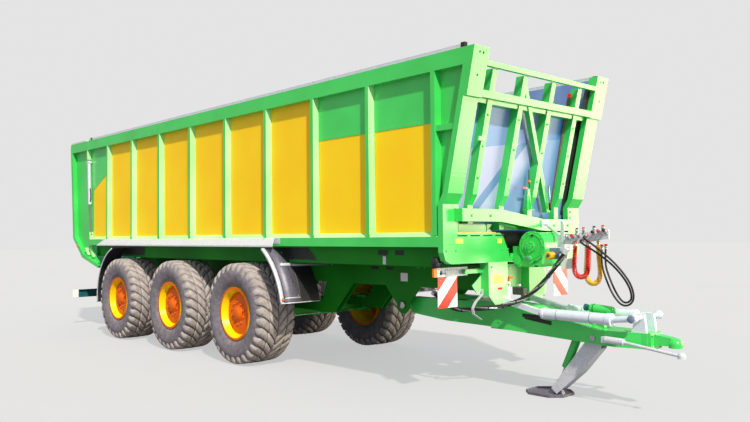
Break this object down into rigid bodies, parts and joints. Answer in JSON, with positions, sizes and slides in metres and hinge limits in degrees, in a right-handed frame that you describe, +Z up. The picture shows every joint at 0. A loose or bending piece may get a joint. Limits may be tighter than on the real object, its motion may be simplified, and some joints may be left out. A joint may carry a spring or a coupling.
{
  "type": "silage trailer",
  "caption": "Tridem forage trailer with tall ribbed sides, belt floor, push-off front wall, top-hinged tailgate, steered axles and a folding parking leg.",
  "frame": {"origin": "middle of the whole trailer's length and width, on the ground", "axes": "+X towards the drawbar, +Y to the trailer's left, +Z up"},
  "size_m": [11.822, 2.92, 3.622],
  "materials": {
    "amber_lens": "lamp lens",
    "belt_rubber": "fabric-backed rubber belt",
    "black_plastic": "moulded polyethylene",
    "board_white": "reflective sheet",
    "chromed_rod": "hard chrome",
    "clear_sheet": "clear polycarbonate sheet",
    "dark_steel": "satin dark paint",
    "galvanised": "galvanised sheet",
    "green_paint": "semi-gloss powder coat",
    "hose_rubber": "braided hose sleeve",
    "red_hose": "polyamide air hose",
    "red_lens": "lamp lens",
    "rim_paint": "glossy orange-yellow paint",
    "tyre_rubber": "matt vulcanised rubber",
    "yellow_hose": "polyamide air hose",
    "yellow_paint": "semi-gloss powder coat"
  },
  "bodies": {
    "root": {"accumulators": "dark_steel", "air_hose_red": "red_hose", "air_hose_yellow": "yellow_hose", "axles": "green_paint", "belt_drums": "galvanised", "chassis_frame": "green_paint", "couplers": "galvanised", "coupling_spoon": "dark_steel", "drawbar": "green_paint", "drawbar_rams": "galvanised", "fenders": "black_plastic", "floor_belt": "belt_rubber", "floor_deck": "galvanised", "floor_frame": "green_paint", "front_console": "green_paint", "front_lamps": "amber_lens", "headboard_frame": "green_paint", "hose_bundle": "hose_rubber", "hose_holder": "galvanised", "line_filter": "galvanised", "pressure_hoses": "hose_rubber", "rear_light_bar": "green_paint", "side_frames": "green_paint", "side_panels": "yellow_paint", "spray_deflectors": "galvanised", "steering_rod": "dark_steel", "suspension_rams": "galvanised", "tail_lamps": "red_lens", "top_rails": "galvanised", "warning_boards": "board_white", "winch_gearbox": "green_paint"},
    "wheel_front_right": {"rim_front_right": "rim_paint", "tyre_front_right": "tyre_rubber"},
    "wheel_front_left": {"rim_front_left": "rim_paint", "tyre_front_left": "tyre_rubber"},
    "wheel_middle_right": {"rim_middle_right": "rim_paint", "tyre_middle_right": "tyre_rubber"},
    "wheel_middle_left": {"rim_middle_left": "rim_paint", "tyre_middle_left": "tyre_rubber"},
    "wheel_rear_right": {"rim_rear_right": "rim_paint", "tyre_rear_right": "tyre_rubber"},
    "wheel_rear_left": {"rim_rear_left": "rim_paint", "tyre_rear_left": "tyre_rubber"},
    "steer_front_right": {"knuckle_front_right": "green_paint"},
    "steer_front_left": {"knuckle_front_left": "green_paint"},
    "track_front": {"tie_rod_front": "green_paint"},
    "steer_rear_right": {"knuckle_rear_right": "green_paint"},
    "steer_rear_left": {"knuckle_rear_left": "green_paint"},
    "track_rear": {"tie_rod_rear": "green_paint"},
    "push_wall": {"push_wall_frame": "green_paint", "push_wall_window": "clear_sheet"},
    "tail_gate": {"tailgate": "green_paint"},
    "gate_rod_left": {"gate_rod_left": "chromed_rod"},
    "gate_barrel_left": {"gate_barrel_left": "dark_steel"},
    "gate_rod_right": {"gate_rod_right": "chromed_rod"},
    "gate_barrel_right": {"gate_barrel_right": "dark_steel"},
    "parking_leg": {"stand_leg": "green_paint"},
    "parking_foot": {"stand_foot": "green_paint"},
    "leg_barrel": {"stand_barrel": "dark_steel"},
    "leg_rod": {"stand_rod": "chromed_rod"}
  },
  "joints": [
    {"name": "steer_front_right", "type": "hinge", "parent": "root", "child": "steer_front_right", "pos_m": [0.313, -0.8, 0.68], "axis": [0, 0, 1], "range_deg": [-15, 15]},
    {"name": "steer_front_left", "type": "hinge", "parent": "root", "child": "steer_front_left", "pos_m": [0.313, 0.8, 0.68], "axis": [0, 0, 1], "range_deg": [-15, 15]},
    {"name": "track_rod_front", "type": "hinge", "parent": "steer_front_right", "child": "track_front", "pos_m": [0.108, -0.8, 0.55], "axis": [0, 0, 1], "range_deg": [-15, 15]},
    {"name": "steer_rear_right", "type": "hinge", "parent": "root", "child": "steer_rear_right", "pos_m": [-3.347, -0.8, 0.68], "axis": [0, 0, 1], "range_deg": [-15, 15]},
    {"name": "steer_rear_left", "type": "hinge", "parent": "root", "child": "steer_rear_left", "pos_m": [-3.347, 0.8, 0.68], "axis": [0, 0, 1], "range_deg": [-15, 15]},
    {"name": "track_rod_rear", "type": "hinge", "parent": "steer_rear_right", "child": "track_rear", "pos_m": [-3.552, -0.8, 0.55], "axis": [0, 0, 1], "range_deg": [-15, 15]},
    {"name": "spin_front_right", "type": "hinge", "parent": "steer_front_right", "child": "wheel_front_right", "pos_m": [0.313, -1.16, 0.68], "axis": [0, 1, 0], "continuous": true},
    {"name": "spin_front_left", "type": "hinge", "parent": "steer_front_left", "child": "wheel_front_left", "pos_m": [0.313, 1.16, 0.68], "axis": [0, 1, 0], "continuous": true},
    {"name": "spin_middle_right", "type": "hinge", "parent": "root", "child": "wheel_middle_right", "pos_m": [-1.517, -1.16, 0.68], "axis": [0, 1, 0], "continuous": true},
    {"name": "spin_middle_left", "type": "hinge", "parent": "root", "child": "wheel_middle_left", "pos_m": [-1.517, 1.16, 0.68], "axis": [0, 1, 0], "continuous": true},
    {"name": "spin_rear_right", "type": "hinge", "parent": "steer_rear_right", "child": "wheel_rear_right", "pos_m": [-3.347, -1.16, 0.68], "axis": [0, 1, 0], "continuous": true},
    {"name": "spin_rear_left", "type": "hinge", "parent": "steer_rear_left", "child": "wheel_rear_left", "pos_m": [-3.347, 1.16, 0.68], "axis": [0, 1, 0], "continuous": true},
    {"name": "wall_push", "type": "slide", "parent": "root", "child": "push_wall", "axis": [-1, 0, 0], "range_m": [0, 8.5]},
    {"name": "gate_open", "type": "hinge", "parent": "root", "child": "tail_gate", "pos_m": [-5.017, 0, 3.592], "axis": [0, 1, 0], "range_deg": [0, 85]},
    {"name": "gate_rod_swing_left", "type": "hinge", "parent": "root", "child": "gate_rod_left", "pos_m": [-5.007, 1.214, 1.805], "axis": [0, 1, 0], "range_deg": [-10.66, 0]},
    {"name": "gate_ram_left", "type": "slide", "parent": "gate_rod_left", "child": "gate_barrel_left", "axis": [-0.0631, 0, 0.998], "range_m": [0, 0.5425]},
    {"name": "gate_rod_swing_right", "type": "hinge", "parent": "root", "child": "gate_rod_right", "pos_m": [-5.007, -1.214, 1.805], "axis": [0, 1, 0], "range_deg": [-10.66, 0]},
    {"name": "gate_ram_right", "type": "slide", "parent": "gate_rod_right", "child": "gate_barrel_right", "axis": [-0.0631, 0, 0.998], "range_m": [0, 0.5425]},
    {"name": "leg_fold", "type": "hinge", "parent": "root", "child": "parking_leg", "pos_m": [4.953, 0, 0.665], "axis": [0, 1, 0], "range_deg": [0, 33]},
    {"name": "foot_tilt", "type": "hinge", "parent": "parking_leg", "child": "parking_foot", "pos_m": [4.433, 0, 0.072], "axis": [0, 1, 0], "range_deg": [-33, 0]},
    {"name": "leg_ram_swing", "type": "hinge", "parent": "root", "child": "leg_barrel", "pos_m": [4.718, 0, 0.74], "axis": [0, 1, 0], "range_deg": [0, 39.62]},
    {"name": "leg_ram", "type": "slide", "parent": "leg_barrel", "child": "leg_rod", "axis": [-0.404, 0, -0.9148], "range_m": [-0.1291, 0]}
  ],
  "couplings": [
    {"joint": "gate_rod_swing_left", "follows": "gate_open", "ratio": -0.12296},
    {"joint": "gate_ram_left", "follows": "gate_open", "m_per_rad": 0.35852},
    {"joint": "gate_rod_swing_right", "follows": "gate_open", "ratio": -0.12296},
    {"joint": "gate_ram_right", "follows": "gate_open", "m_per_rad": 0.35852},
    {"joint": "foot_tilt", "follows": "leg_fold", "ratio": -1},
    {"joint": "leg_ram_swing", "follows": "leg_fold", "ratio": 1.1771},
    {"joint": "leg_ram", "follows": "leg_fold", "m_per_rad": -0.21977},
    {"joint": "steer_front_left", "follows": "steer_front_right", "ratio": 1},
    {"joint": "steer_rear_right", "follows": "steer_front_right", "ratio": -1},
    {"joint": "steer_rear_left", "follows": "steer_front_right", "ratio": -1},
    {"joint": "track_rod_front", "follows": "steer_front_right", "ratio": -1},
    {"joint": "track_rod_rear", "follows": "steer_front_right", "ratio": 1}
  ]
}
